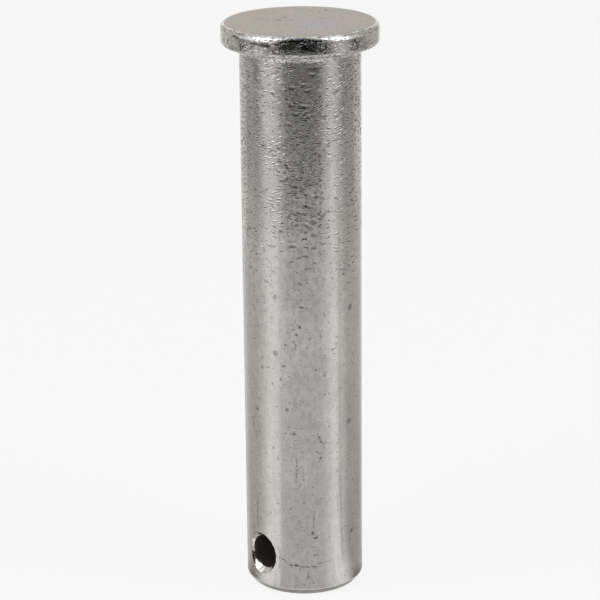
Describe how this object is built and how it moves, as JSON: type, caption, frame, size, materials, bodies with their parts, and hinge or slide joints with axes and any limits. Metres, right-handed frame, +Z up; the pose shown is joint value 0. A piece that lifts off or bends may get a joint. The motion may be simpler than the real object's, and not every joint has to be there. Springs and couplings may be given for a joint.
{
  "type": "clevis pin",
  "caption": "Headed clevis pin: plain round shank with a flat round head, a bevelled tip and a countersunk cross hole for a split pin.",
  "frame": {"origin": "centre of the flat tip, which the pin stands on", "axes": "+Z up the pin from the tip to the head; the cross hole runs along Y"},
  "size_m": [0.0207, 0.0206, 0.0778],
  "materials": {
    "zinc_plated_steel": "bright zinc plate over cold-headed bar, with fine upset wrinkles towards the head"
  },
  "bodies": {
    "root": {"clevis_pin": "zinc_plated_steel"}
  },
  "joints": []
}
